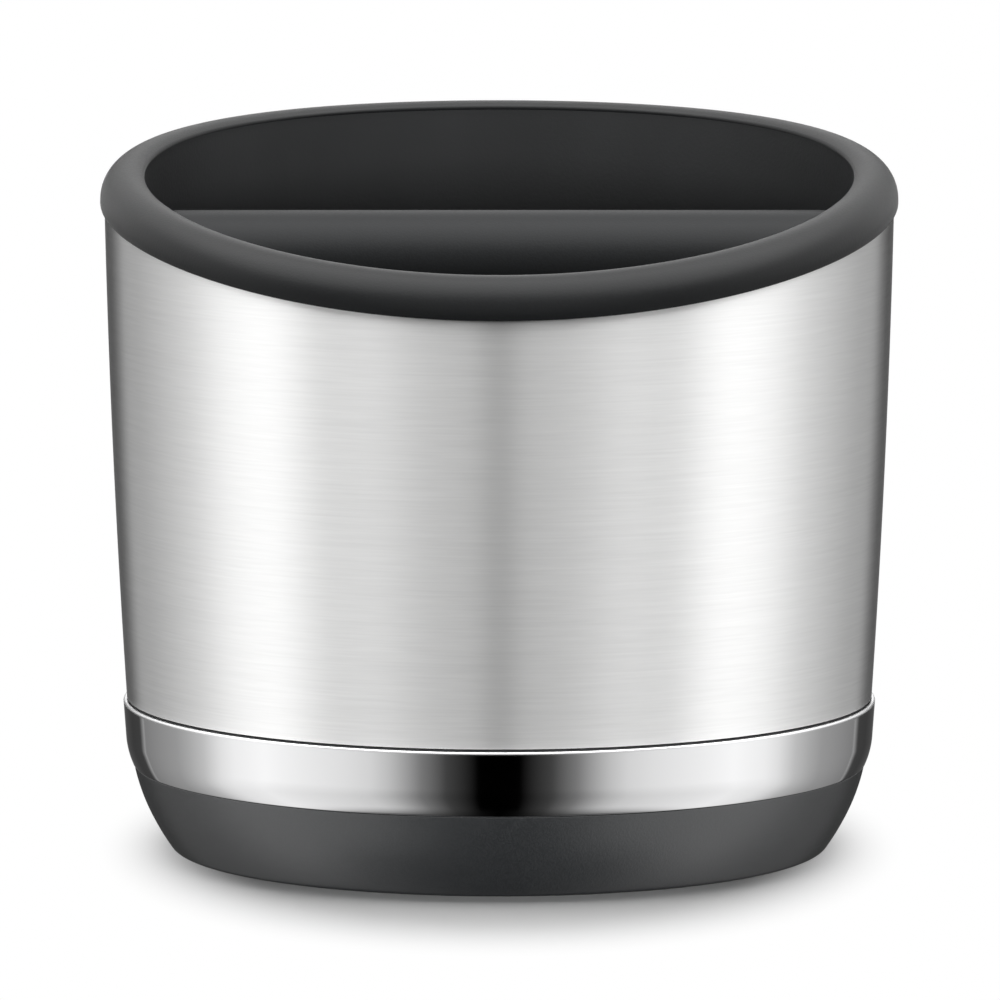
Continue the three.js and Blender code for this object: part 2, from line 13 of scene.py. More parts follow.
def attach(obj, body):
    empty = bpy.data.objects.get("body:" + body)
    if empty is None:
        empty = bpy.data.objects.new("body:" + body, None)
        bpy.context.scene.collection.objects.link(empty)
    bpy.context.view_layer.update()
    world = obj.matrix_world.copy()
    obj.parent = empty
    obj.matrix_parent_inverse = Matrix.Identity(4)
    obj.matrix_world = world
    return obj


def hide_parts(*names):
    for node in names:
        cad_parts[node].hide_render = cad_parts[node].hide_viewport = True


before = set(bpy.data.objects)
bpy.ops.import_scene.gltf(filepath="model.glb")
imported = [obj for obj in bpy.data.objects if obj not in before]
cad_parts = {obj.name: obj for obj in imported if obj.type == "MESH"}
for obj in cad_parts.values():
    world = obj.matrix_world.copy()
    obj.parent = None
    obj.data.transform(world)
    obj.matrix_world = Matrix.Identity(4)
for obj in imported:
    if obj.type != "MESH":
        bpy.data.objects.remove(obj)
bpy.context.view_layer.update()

MM = 0.001
SCREWS = 4

# Sizes, in millimetres

GAP, GROOVE_GAP, BOOT_GAP = 0.3, 0.05, 0.08
LIP_FRONT_Z, LIP_BACK_Z, LIP_BOW = 96.57, 114.75, 3.6
LEVEL_Z = (LIP_FRONT_Z + LIP_BACK_Z) / 2 + LIP_BOW

RIM_RADIUS, SLEEVE_TAPER, SLEEVE_BULGE = 66.25, 3.45, 0.45
SLEEVE_FOOT_Z, SLEEVE_WALL = 25.75, 0.8
HEM_RISE, HEM_WIDTH, HEM_BEND = 1.5, 3.2, 1.0
FOOT_RADIUS = RIM_RADIUS - SLEEVE_TAPER

COLLAR_RADIUS, COLLAR_HEIGHT = 66.95, 5.7
COLLAR_SHOULDER, COLLAR_EDGE, COLLAR_LIP = 4.8, 0.65, 0.1
SKIRT_GAP, SKIRT_ROUND = 0.15, 0.3
COLLAR_MOUTH, BIN_MOUTH, BIN_FOOT, BIN_WALL = 59.55, 59.75, 54.01, 2.5
BIN_FLOOR_Z, BIN_CORNER, BIN_FOOT_DRAFT = 12.0, 8.0, 0.1
FLANGE_RADIUS, FLANGE_THICKNESS = 65.0, 1.6

BAND_TOP_Z, BAND_FOOT_Z, BAND_RADIUS = 25.33, 14.4, 63.4
BAND_LIP, BAND_LIP_DEPTH, BAND_STRAIGHT = 0.34, 1.7, 5.96
BAND_TAPER, BAND_TURN, BAND_BORE, BAND_FOOT_ROUND = 0.45, 1.21, 60.9, 0.18
FRAME_RIM = 62.5

BOOT_TOP_Z = BAND_FOOT_Z - BOOT_GAP
BOOT_RADIUS, BOOT_TAPER, BOOT_BULGE = 61.61, 6.6, 0.95
BOOT_EDGE, BOOT_RIM_ROUND, BOOT_WALL = 1.8, 0.12, 2.3
SOLE_THICKNESS, SOLE_WIDTH, SOLE_ROUND = 2.2, 7.0, 0.3
BOSS_Z, BOSS_RADIUS, BOSS_BORE, BOSS_CIRCLE = 4.5, 4.0, 1.8, 35.09
BOSS_ROUND, BOSS_SINK = 0.3, 1.0

BAR_DROP, BAR_RADIUS, BAR_HALF, BAR_ROUND = 12.5, 11.0, 57.63, 0.25
BAR_Z = LEVEL_Z - BAR_DROP
CAP_THICKNESS, CAP_ROUND, CAP_SEAM = 2.5, 1.4, 0.2
CORE_RADIUS, SPIGOT, SPIGOT_LENGTH, SPIGOT_ROUND = 6.0, 4.5, 10.0, 0.8
KEY_WIDTH, KEY_RISE, KEY_LENGTH, KEY_ROUND = 5.0, 1.6, 1.7, 0.25
BUFFER_INNER, BUFFER_OUTER, BUFFER_EDGE = 11.3, 12.8, 0.2
CRADLE_INNER, CRADLE_OUTER, CRADLE_EDGE, CRADLE_SINK = 13.1, 15.5, 0.4, 0.3
CHEEK_RISE, CRADLE_REACH, CRADLE_TAPER = 2.5, 7.6, 5.0

# How far short of a rounded corner the row of points before it stops
HEM_SHORT, BIN_SHORT, LIP_SHORT, BOOT_SHORT, BAR_SHORT = 0.01, 0.5, 0.1, 0.8, 1.0

# How close points are merged, and how close a face counts as being at a plane
MERGE, TOUCH = 0.0005, 0.01

# Angles between faces, in radians, past which shading breaks and a saddle's edge is rounded
SHARP_SHADING, SHARP_EDGE = math.radians(34), 1.0

# The collar's broad shoulder rolls over the crest and runs into the tight round at its inner edge
SHOULDER_X, EDGE_X = COLLAR_RADIUS - COLLAR_SHOULDER, COLLAR_MOUTH + COLLAR_EDGE
COLLAR_ROLL = math.asin((SHOULDER_X - EDGE_X) / (COLLAR_SHOULDER - COLLAR_EDGE))
EDGE_DROP = COLLAR_SHOULDER - (COLLAR_SHOULDER - COLLAR_EDGE) * math.cos(COLLAR_ROLL)
BIN_RIM_RISE = COLLAR_HEIGHT - EDGE_DROP - COLLAR_LIP - GROOVE_GAP


def bow(share, height):
    """A shallow arch over a run: nothing at either end and its full height at the middle."""
    return 4 * height * share * (1 - share)


def lip_z(y):
    share = y / COLLAR_RADIUS
    fall = (LIP_BACK_Z - LIP_FRONT_Z) / 2
    return LEVEL_Z - LIP_BOW + fall * share + LIP_BOW * (1 - share * share)


def sleeve_share(z):
    return (z - SLEEVE_FOOT_Z) / (LEVEL_Z - SLEEVE_FOOT_Z)


def sleeve_radius(z):
    share = sleeve_share(z)
    return FOOT_RADIUS + SLEEVE_TAPER * share + bow(share, SLEEVE_BULGE)


def bin_radius(z):
    return BIN_FOOT + (BIN_MOUTH - BIN_FOOT) * (z - BIN_FLOOR_Z) / (LEVEL_Z - BIN_FLOOR_Z)


def boot_radius(z):
    share = z / BOOT_TOP_Z
    return BOOT_RADIUS - BOOT_TAPER * (1 - share) + bow(share, BOOT_BULGE)


WALL_AT_BAR = bin_radius(BAR_Z)
CRADLE_FACE_X = WALL_AT_BAR - CRADLE_REACH
CAP_FACE_X = BAR_HALF - CAP_THICKNESS


def rows(start, end, count):
    return [start + (end - start) * i / count for i in range(count + 1)]


def arc(x, z, radius, start, end, count):
    """Points of an arc round (x, z), with the angles measured from straight outwards."""
    return [(x + radius * math.cos(a), z + radius * math.sin(a)) for a in rows(start, end, count)]


def rounded(bm, parts, reach, segments, affect="EDGES"):
    """Rounds off edges or corner points, from reach to either side of them."""
    bmesh.ops.bevel(bm, geom=parts, offset=reach, offset_type="OFFSET", affect=affect,
                    segments=segments, profile=0.5, material=-1)


def cut(bm, point, normal, clear=False):
    """Cuts every face along a plane, and may clear the side that its normal points to."""
    return bmesh.ops.bisect_plane(bm, geom=bm.verts[:] + bm.edges[:] + bm.faces[:],
                                  plane_co=point, plane_no=normal, clear_outer=clear)


def turned(outline, turns=192, round_segments=6):
    """Spins an outline of (radius, height) or (radius, height, corner round) round Z.

    An outline whose first and last points lie on the axis stays open there; any other one is closed."""
    bm = bmesh.new()
    points = [bm.verts.new((p[0], 0, p[1])) for p in outline]
    on_axis = outline[0][0] == 0 and outline[-1][0] == 0
    for a, b in zip(points, points[1:] + ([] if on_axis else points[:1])):
        bm.edges.new((a, b))
    for point, place in zip(points, outline):
        if len(place) < 3:
            continue
        before, after = (edge.other_vert(point).co - point.co for edge in point.link_edges)
        reach = place[2] * math.tan((math.pi - before.angle(after)) / 2)
        rounded(bm, [point], reach, round_segments, "VERTICES")
    bmesh.ops.spin(bm, geom=bm.verts[:] + bm.edges[:], cent=(0, 0, 0), axis=(0, 0, 1), dvec=(0, 0, 0),
                   angle=2 * math.pi, steps=turns, use_merge=True, use_duplicate=False)
    bmesh.ops.remove_doubles(bm, verts=bm.verts[:], dist=MERGE)
    bmesh.ops.recalc_face_normals(bm, faces=bm.faces[:])
    return bm


def carry_to_lip(bm):
    """Carries a piece that was spun with a level lip to the real lip line, along the sleeve's curve."""
    for vert in bm.verts:
        x, y, z = vert.co
        radius = math.hypot(x, y)
        share = min(1.0, max(0.0, sleeve_share(z)))
        raised = z + share * (lip_z(y) - LEVEL_Z)
        wider = 1 + (sleeve_radius(raised) - sleeve_radius(z)) / radius if radius > 0 else 1
        vert.co = (x * wider, y * wider, raised)
    return bm


def onto_bar(bm):
    """Turns a piece that was spun round Z onto the bar's axis, with its top end towards +X."""
    bmesh.ops.rotate(bm, verts=bm.verts[:], cent=(0, 0, 0), matrix=Matrix.Rotation(math.pi / 2, 3, "Y"))
    bmesh.ops.translate(bm, verts=bm.verts[:], vec=(0, 0, BAR_Z))
    return bm


def join(bm, other):
    """Adds another bmesh's faces to this one."""
    carrier = bpy.data.meshes.new("carrier")
    other.to_mesh(carrier)
    other.free()
    bm.from_mesh(carrier)
    bpy.data.meshes.remove(carrier)
    return bm


def mirrored(bm):
    """The same piece at the other end of the bar."""
    twin = bm.copy()
    bmesh.ops.scale(twin, verts=twin.verts[:], vec=(-1, 1, 1))
    bmesh.ops.recalc_face_normals(twin, faces=twin.faces[:])
    return twin


def saddle(inner, outer, x0, x1, soft_edge):
    """A U round the bar's axis, open at the top: half a ring, with its ends carried up as cheeks."""
    bm = bmesh.new()
    outline = ((x0, inner), (x0, outer), (x1, outer), (x1, inner))
    corners = [bm.verts.new((x, -radius, BAR_Z)) for x, radius in outline]
    for a, b in zip(corners, corners[1:] + corners[:1]):
        bm.edges.new((a, b))
    bmesh.ops.spin(bm, geom=bm.verts[:] + bm.edges[:], cent=(0, 0, BAR_Z), axis=(1, 0, 0), dvec=(0, 0, 0),
                   angle=math.pi, steps=32, use_merge=False, use_duplicate=False)
    open_edges = [edge for edge in bm.edges if edge.is_boundary]
    ends = bmesh.ops.holes_fill(bm, edges=open_edges, sides=0)["faces"]
    for end in ends:
        lifted = bmesh.ops.extrude_face_region(bm, geom=[end])["geom"]
        tops = [part for part in lifted if isinstance(part, bmesh.types.BMVert)]
        bmesh.ops.translate(bm, verts=tops, vec=(0, 0, CHEEK_RISE))
    bmesh.ops.delete(bm, geom=[end for end in ends if end.is_valid], context="FACES_ONLY")
    bmesh.ops.recalc_face_normals(bm, faces=bm.faces[:])
    if sum(face.normal.x for face in bm.faces if face.calc_center_median().x > x1 - TOUCH) < 0:
        bmesh.ops.reverse_faces(bm, faces=bm.faces[:])
    sharp = [edge for edge in bm.edges if edge.is_manifold and edge.calc_face_angle() > SHARP_EDGE]
    rounded(bm, sharp, soft_edge, 3)
    return bm


def meshed(name, bm, finish):
    mesh = bpy.data.meshes.new(name)
    bm.to_mesh(mesh)
    bm.free()
    mesh.materials.append(finish)
    return mesh


def in_scene(name, data):
    piece = bpy.data.objects.new(name, data)
    bpy.context.scene.collection.objects.link(piece)
    return piece


def finished(name, bm, finish, body="box"):
    """Scales a piece to metres, shades it, and seats it on its body in place of its CAD node."""
    bmesh.ops.scale(bm, verts=bm.verts[:], vec=(MM, MM, MM))
    for face in bm.faces:
        face.smooth = True
    for edge in bm.edges:
        edge.smooth = not edge.is_manifold or edge.calc_face_angle() < SHARP_SHADING
    piece = in_scene(name + "_fine", meshed(name, bm, finish))
    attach(piece, body)
    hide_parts(name)


# The colour sockets of a Mix node, whose names its other sockets share
MIX_FACTOR, MIX_FIRST, MIX_SECOND, MIX_RESULT = 0, 6, 7, 2


class Value:
    """A socket in an expression: each operator adds its Math node."""

    def __init__(self, graph, socket):
        self.graph, self.socket = graph, socket

    def __add__(self, other):
        return self.graph.math("ADD", self, other)

    def __sub__(self, other):
        return self.graph.math("SUBTRACT", self, other)

    def __mul__(self, other):
        return self.graph.math("MULTIPLY", self, other)

    def __truediv__(self, other):
        return self.graph.math("DIVIDE", self, other)

    def __radd__(self, other):
        return self.graph.math("ADD", other, self)

    def __rsub__(self, other):
        return self.graph.math("SUBTRACT", other, self)

    def __rmul__(self, other):
        return self.graph.math("MULTIPLY", other, self)

    def __rtruediv__(self, other):
        return self.graph.math("DIVIDE", other, self)

    def __abs__(self):
        return self.graph.math("ABSOLUTE", self)


class Graph:
    """A node tree that is written as expressions."""

    def __init__(self, tree):
        self.tree = tree
        tree.nodes.clear()

    def node(self, kind, settings=None, sockets=None, out=0):
        """Adds a node with its settings, then the values or links of its sockets."""
        made = self.tree.nodes.new("ShaderNode" + kind)
        for name, value in (settings or {}).items():
            if name == "stops":
                ramp = made.color_ramp
                ramp.interpolation = "LINEAR"
                while len(ramp.elements) < len(value):
                    ramp.elements.new(1)
                for element, (place, level) in zip(ramp.elements, value):
                    element.position = place
                    element.color = (level, level, level, 1)
            else:
                setattr(made, name, value)
        for name, value in (sockets or {}).items():
            if isinstance(value, Value):
                self.tree.links.new(value.socket, made.inputs[name])
            else:
                made.inputs[name].default_value = value
        return Value(self, made.outputs[out])

    def output(self, kind, shader):
        """Ends the tree with a shader, of a material or the world."""
        ending = self.tree.nodes.new("ShaderNodeOutput" + kind)
        self.tree.links.new(shader.socket, ending.inputs["Surface"])

    def math(self, operation, *terms):
        return self.node("Math", {"operation": operation}, dict(enumerate(terms)))

    def mix(self, share, first, second):
        """A colour between two colours."""
        return self.node("Mix", {"data_type": "RGBA"},
                         {MIX_FACTOR: share, MIX_FIRST: first, MIX_SECOND: second}, MIX_RESULT)

    def spread(self, value, low, high, to_low=0.0, to_high=1.0, smooth=False):
        """A value brought from one range to another."""
        kind = "SMOOTHSTEP" if smooth else "LINEAR"
        return self.node("MapRange", {"interpolation_type": kind},
                         {"Value": value, "From Min": low, "From Max": high,
                          "To Min": to_low, "To Max": to_high})

    def noise(self, scale, detail, roughness=0.5):
        """Noise on object coordinates, with a scale for each axis in 1/m."""
        place = self.node("TexCoord", out="Object")
        stretched = self.node("Mapping", None, {"Vector": place, "Scale": scale})
        return self.node("TexNoise", None, {"Vector": stretched, "Scale": 1.0, "Detail": detail,
                                            "Roughness": roughness})

    def bump(self, height, distance, strength):
        return self.node("Bump", None, {"Height": height, "Distance": distance, "Strength": strength})


def blank_material(name):
    material = bpy.data.materials.new(name)
    material.use_nodes = True
    return material, Graph(material.node_tree)


def surface(name, build):
    """A material whose Principled sockets come from build(graph)."""
    material, g = blank_material(name)
    g.output("Material", g.node("BsdfPrincipled", None, build(g)))
    return material


# The range that most of a noise lies in, how far a base colour and a roughness stray, and in metres
# how deep the moulded grain is
NOISE_RANGE = (0.3, 0.7)
TONE, GLOSS = 0.08, 0.02
GRAIN_DEPTH = 0.00002


def grey(level, blue):
    return (level, level * (1 + blue * 0.5), level * (1 + blue), 1)


def toned(g, shade, base, blue):
    """The base colour, from a little darker to a little lighter with the shade."""
    return g.mix(shade, grey(base * (1 - TONE), blue), grey(base * (1 + TONE), blue))


def dulled(g, shade, roughness):
    """The roughness, from a little less to a little more with the shade."""
    return g.spread(shade, 0.0, 1.0, roughness - GLOSS, roughness + GLOSS)


def moulded_grain(g, scale):
    """A fine grain whose peaks and hollows are flattened."""
    return g.spread(g.noise((scale, scale, scale), detail=1.0), 0.38, 0.62, smooth=True)


def elastomer(base, blue, roughness, specular, ior=1.5, bloom=0.0):
    """Soft-touch charcoal: a fine moulded grain, faint mottling and slightly uneven gloss."""
    def build(g):
        grain = moulded_grain(g, 2600)
        mottle = g.noise((120, 120, 120), detail=3.0, roughness=0.6)
        shade = g.spread(grain * 0.5 + mottle * 0.5, *NOISE_RANGE)
        return {
            "Base Color": toned(g, shade, base, blue),
            "Roughness": dulled(g, shade, roughness),
            "Normal": g.bump(grain, GRAIN_DEPTH, 0.25),
            "Specular IOR Level": specular,
            "IOR": ior,
            "Sheen Weight": bloom,
            "Sheen Roughness": 0.4,
        }
    return build


def brushed_steel(g):
    """Stainless sheet brushed round the wall: fine level streaks over longer, fainter ones."""
    fine = g.noise((110, 110, 3400), detail=1.0, roughness=0.6)
    long = g.noise((40, 40, 2400), detail=1.0)
    cloud = g.noise((22, 22, 30), detail=1.0)
    streak = g.spread(fine * 0.55 + long * 0.45, 0.32, 0.68)
    dull = fine * 0.7 + long * 0.15 + cloud * 0.15
    return {
        "Base Color": g.mix(streak, (0.865, 0.865, 0.86, 1), (0.925, 0.925, 0.92, 1)),
        "Metallic": 1.0,
        "Roughness": g.spread(dull, *NOISE_RANGE, 0.43, 0.48),
        "Normal": g.bump(fine, 0.000008, 0.15),
        "Anisotropic": 1.0,
        "Anisotropic Rotation": 0.25,
    }


def chrome(g):
    """Polished plate, with the faintest haze and waviness, and softer over its lip."""
    haze = g.noise((60, 60, 60), detail=3.0)
    wave = g.noise((18, 18, 18), detail=1.0)
    height = g.node("SeparateXYZ", None, {"Vector": g.node("TexCoord", out="Object")}, "Z")
    lip = g.spread(height, (BAND_TOP_Z - 2 * BAND_LIP) * MM, (BAND_TOP_Z - BAND_LIP) * MM)
    return {
        "Base Color": (0.9, 0.9, 0.905, 1),
        "Metallic": 1.0,
        "Roughness": g.spread(haze, 0.35, 0.7, 0.05, 0.085) + lip * 0.25,
        "Normal": g.bump(wave, 0.0002, 0.03),
    }


def moulded(base, roughness, specular):
    """Matte moulded plastic with a fine spark-eroded texture."""
    def build(g):
        grain = moulded_grain(g, 1800)
        flow = g.noise((45, 45, 25), detail=2.0)
        return {
            "Base Color": toned(g, g.spread(flow, *NOISE_RANGE), base, 0.05),
            "Roughness": dulled(g, grain, roughness),
            "Normal": g.bump(grain, GRAIN_DEPTH, 0.3),
            "Specular IOR Level": specular,
        }
    return build


def plain_metal(base, roughness):
    """Zinc or drawn aluminium, with faint clouding."""
    def build(g):
        cloud = g.noise((400, 400, 400), detail=3.0)
        return {
            "Base Color": g.mix(cloud, (base * 0.92, base * 0.92, base * 0.93, 1), (base, base, base, 1)),
            "Metallic": 1.0,
            "Roughness": g.spread(cloud, *NOISE_RANGE, roughness - 0.05, roughness + 0.08),
        }
    return build


collar_finish = surface(
    "collar_elastomer", elastomer(base=0.005, blue=0.2, roughness=0.42, specular=0.16, bloom=0.2))
boot_finish = surface(
    "boot_elastomer", elastomer(base=0.026, blue=0.15, roughness=0.31, specular=0.88, ior=1.6))
bar_finish = surface("bar_elastomer", elastomer(base=0.01, blue=0.2, roughness=0.42, specular=0.12))
sleeve_finish = surface("brushed_sleeve", brushed_steel)
band_finish = surface("chrome_band", chrome)
bin_finish = surface("bin_plastic", moulded(base=0.052, roughness=0.4, specular=0.14))
frame_finish = surface("frame_plastic", moulded(base=0.06, roughness=0.6, specular=0.5))
cap_finish = surface("cap_plastic", moulded(base=0.02, roughness=0.5, specular=0.5))
buffer_finish = surface("buffer_rubber", elastomer(base=0.02, blue=0.05, roughness=0.75, specular=0.4))
screw_finish = surface("screw_steel", plain_metal(base=0.6, roughness=0.35))
core_finish = surface("core_metal", plain_metal(base=0.7, roughness=0.3))

# The camera's place, in metres, and its tilt up from straight down, in degrees

CAMERA_PLACE, CAMERA_TILT = (0.00012, -2.0, 0.3188), 82.591
LENS, SENSOR_WIDTH, CLIP_START = 431.24, 36, 0.1

camera = in_scene("camera", bpy.data.cameras.new("camera"))
camera.data.sensor_width = SENSOR_WIDTH
camera.data.lens = LENS
camera.data.clip_start = CLIP_START
camera.location = CAMERA_PLACE
camera.rotation_euler = (math.radians(CAMERA_TILT), 0, 0)
bpy.context.scene.camera = camera


def steel_sleeve():
    """The brushed wall, with its top edge bent in as a hem under the collar."""
    top = LEVEL_Z + HEM_RISE
    outside = [(sleeve_radius(z), z) for z in rows(SLEEVE_FOOT_Z, top - HEM_BEND - HEM_SHORT, 36)]
    inside = [(radius - SLEEVE_WALL, z) for radius, z in reversed(outside)]
    hem_x = sleeve_radius(top) - HEM_WIDTH
    return carry_to_lip(turned([
        *outside,
        (sleeve_radius(top), top, HEM_BEND),
        (hem_x, top),
        (hem_x, top - SLEEVE_WALL),
        (sleeve_radius(top) - SLEEVE_WALL, top - SLEEVE_WALL),
        *inside,
    ]))


def rim_collar():
    """The soft collar: a broad outer shoulder, a tight inner edge, and channels for hem and flange."""
    crest = LEVEL_Z + COLLAR_HEIGHT
    hem_top = LEVEL_Z + HEM_RISE + GAP
    flange_top = hem_top + FLANGE_THICKNESS + GAP
    wall_top = LEVEL_Z + BIN_RIM_RISE + GROOVE_GAP
    channel = BIN_MOUTH + BIN_WALL + GAP
    skirt = RIM_RADIUS + SKIRT_GAP
    rolled = math.pi / 2 + COLLAR_ROLL
    outside = arc(SHOULDER_X, crest - COLLAR_SHOULDER, COLLAR_SHOULDER, 0, rolled, 28)
    edge = arc(EDGE_X, crest - EDGE_DROP, COLLAR_EDGE, rolled, math.pi, 8)[1:]
    return carry_to_lip(turned([
        (skirt, LEVEL_Z),
        (COLLAR_RADIUS, LEVEL_Z, SKIRT_ROUND),
        *outside,
        *edge,
        (COLLAR_MOUTH, wall_top),
        (channel, wall_top),
        (channel, flange_top),
        (FLANGE_RADIUS + GAP, flange_top),
        (FLANGE_RADIUS + GAP, hem_top),
        (skirt, hem_top),
    ]))


def cradle():
    """The U on the bin's wall that carries a buffer, tapered back to the wall below."""
    bm = saddle(CRADLE_INNER, CRADLE_OUTER, CRADLE_FACE_X, WALL_AT_BAR + CRADLE_SINK, CRADLE_EDGE)
    foot = (CRADLE_FACE_X, 0, BAR_Z - CRADLE_OUTER + CRADLE_TAPER)
    taper = cut(bm, foot, (-1, 0, -1), clear=True)["geom_cut"]
    rim = [part for part in taper if isinstance(part, bmesh.types.BMEdge)]
    bmesh.ops.holes_fill(bm, edges=rim, sides=0)
    return bm


def liner_bin():
    """The drafted bucket with its flange, the two cradles on its wall and the bosses under its floor."""
    flange_z = LEVEL_Z + HEM_RISE + GAP
    rim_z = LEVEL_Z + BIN_RIM_RISE
    outside = BIN_MOUTH + BIN_WALL
    underside = BIN_FLOOR_Z - BIN_WALL
    wall = rows(LEVEL_Z, BIN_FLOOR_Z + BIN_CORNER + BIN_SHORT, 24)
    bm = carry_to_lip(turned([
        (0, underside),
        (BIN_FOOT + BIN_WALL - BIN_FOOT_DRAFT, underside, BIN_CORNER + BIN_WALL),
        *((bin_radius(z) + BIN_WALL, z) for z in reversed(wall)),
        (outside, flange_z),
        (FLANGE_RADIUS, flange_z),
        (FLANGE_RADIUS, flange_z + FLANGE_THICKNESS),
        (outside, flange_z + FLANGE_THICKNESS),
        (outside, rim_z),
        (BIN_MOUTH, rim_z),
        *((bin_radius(z), z) for z in wall),
        (BIN_FOOT, BIN_FLOOR_Z, BIN_CORNER),
        (0, BIN_FLOOR_Z),
    ], round_segments=10))
    right = cradle()
    join(bm, mirrored(right))
    join(bm, right)
    for i in range(SCREWS):
        angle = (i + 0.5) * 2 * math.pi / SCREWS
        boss = turned([
            (BOSS_BORE, BOSS_Z),
            (BOSS_RADIUS, BOSS_Z, BOSS_ROUND),
            (BOSS_RADIUS, underside + BOSS_SINK),
            (BOSS_BORE, underside + BOSS_SINK),
        ], turns=32, round_segments=3)
        bmesh.ops.translate(boss, verts=boss.verts[:],
                            vec=(BOSS_CIRCLE * math.cos(angle), BOSS_CIRCLE * math.sin(angle), 0))
        join(bm, boss)
    return bm


def buffer():
    """The rubber saddle that lines a cradle, cut through below for the cap's key."""
    reach = math.sqrt(WALL_AT_BAR ** 2 - BUFFER_OUTER ** 2) - GAP
    ring = saddle(BUFFER_INNER, BUFFER_OUTER, CRADLE_FACE_X, reach, BUFFER_EDGE)
    notch_x = CAP_FACE_X - GAP
    half = KEY_WIDTH / 2 + GAP
    for y in (-half, half):
        cut(ring, (0, y, 0), (0, 1, 0))
    cut(ring, (notch_x, 0, 0), (1, 0, 0))
    opened = []
    for face in ring.faces:
        middle = face.calc_center_median()
        if middle.x > notch_x and abs(middle.y) < half and middle.z < BAR_Z:
            opened.append(face)
    bmesh.ops.delete(ring, geom=opened, context="FACES")
    gap_edges = [edge for edge in ring.edges if edge.is_boundary]
    bmesh.ops.triangle_fill(ring, edges=gap_edges, use_beauty=True)
    return ring


def trim_band():
    """The chrome band: a thin rolled lip, a nearly straight face and a foot that turns in smoothly."""
    face_z = BAND_TOP_Z - BAND_LIP
    turn_z = face_z - BAND_STRAIGHT
    turn_x = BAND_RADIUS - BAND_TAPER
    slope = BAND_TAPER / (BAND_TOP_Z - turn_z)
    lean = math.atan(slope)
    end = 2 * math.atan(BAND_TURN / (turn_z - BAND_FOOT_Z)) - lean
    radius = (turn_z - BAND_FOOT_Z) / (math.sin(end) - math.sin(lean))
    turn_centre = (turn_x - radius * math.cos(lean), turn_z + radius * math.sin(lean))
    foot, *turn = arc(*turn_centre, radius, -end, -lean, 14)
    bore = FRAME_RIM + GAP
    step_z = BAND_TOP_Z - BAND_LIP_DEPTH
    return turned([
        (BAND_BORE, BAND_FOOT_Z),
        (*foot, BAND_FOOT_ROUND),
        *turn,
        *((turn_x + slope * (z - turn_z), z) for z in rows(turn_z, face_z - LIP_SHORT, 8)[1:]),
        (BAND_RADIUS, BAND_TOP_Z, BAND_LIP),
        (bore, BAND_TOP_Z),
        (bore, step_z),
        (BAND_BORE, step_z),
    ], turns=240, round_segments=5)


def base_boot():
    """The non-slip boot, curving in to the counter and turning under the frame as a flat ring."""
    lean = math.atan((BOOT_TAPER + 4 * BOOT_BULGE) / BOOT_TOP_Z)
    edge_z = BOOT_EDGE * (1 - math.sin(lean))
    sole = boot_radius(edge_z) - BOOT_EDGE * math.cos(lean)
    return turned([
        (sole - SOLE_WIDTH, 0, SOLE_ROUND),
        *arc(sole, BOOT_EDGE, BOOT_EDGE, -math.pi / 2, -lean, 8),
        *((boot_radius(z), z) for z in rows(edge_z, BOOT_TOP_Z - BOOT_SHORT, 16)[1:]),
        (boot_radius(BOOT_TOP_Z), BOOT_TOP_Z, BOOT_RIM_ROUND),
        *((boot_radius(z) - BOOT_WALL, z) for z in rows(BOOT_TOP_Z, SOLE_THICKNESS, 6)),
        (sole - SOLE_WIDTH, SOLE_THICKNESS),
    ], round_segments=5)


def bar_sleeve():
    """The elastomer tube that takes the knocks."""
    half = CAP_FACE_X - GAP
    bore = CORE_RADIUS + GAP
    return onto_bar(turned([
        (bore, -half),
        (BAR_RADIUS, -half, BAR_ROUND),
        *((BAR_RADIUS, z) for z in rows(-half + BAR_SHORT, half - BAR_SHORT, 12)),
        (BAR_RADIUS, half, BAR_ROUND),
        (bore, half),
    ], turns=96, round_segments=4))


def bar_cap():
    """An end cap: a rounded disc, its spigot in the core and the key that stops the bar from rolling."""
    bm = onto_bar(turned([
        (0, CAP_FACE_X - SPIGOT_LENGTH),
        (SPIGOT, CAP_FACE_X - SPIGOT_LENGTH, SPIGOT_ROUND),
        (SPIGOT, CAP_FACE_X),
        (BAR_RADIUS, CAP_FACE_X, CAP_SEAM),
        (BAR_RADIUS, BAR_HALF, CAP_ROUND),
        (0, BAR_HALF),
    ], turns=96, round_segments=6))
    height = KEY_RISE + CAP_ROUND
    centre = (CAP_FACE_X + KEY_LENGTH / 2, 0, BAR_Z - BAR_RADIUS - KEY_RISE + height / 2)
    key = bmesh.new()
    bmesh.ops.create_cube(key, size=1, matrix=Matrix.Translation(centre)
                          @ Matrix.Diagonal((KEY_LENGTH, KEY_WIDTH, height, 1)))
    rounded(key, key.edges[:], KEY_ROUND, 3)
    return join(bm, key)


finished("steel_sleeve", steel_sleeve(), sleeve_finish)
finished("rim_collar", rim_collar(), collar_finish)
finished("liner_bin", liner_bin(), bin_finish)
finished("trim_band", trim_band(), band_finish)
finished("base_boot", base_boot(), boot_finish)
finished("buffer_right", buffer(), buffer_finish)
finished("buffer_left", mirrored(buffer()), buffer_finish)
finished("bar_sleeve", bar_sleeve(), bar_finish, "knock_bar")
finished("bar_cap_right", bar_cap(), cap_finish, "knock_bar")
finished("bar_cap_left", mirrored(bar_cap()), cap_finish, "knock_bar")

carried_over = {"base_frame": frame_finish, "bar_core": core_finish}
carried_over.update({f"base_screw_{i + 1}": screw_finish for i in range(SCREWS)})
for name, finish in carried_over.items():
    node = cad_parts[name]
    node.data.materials.clear()
    node.data.materials.append(finish)

# What the glossy surfaces see, as stops of (turn, level), where the turn goes from straight ahead of
# the box (0) to straight behind it (1): under the floor line, from there to the horizon, and above it

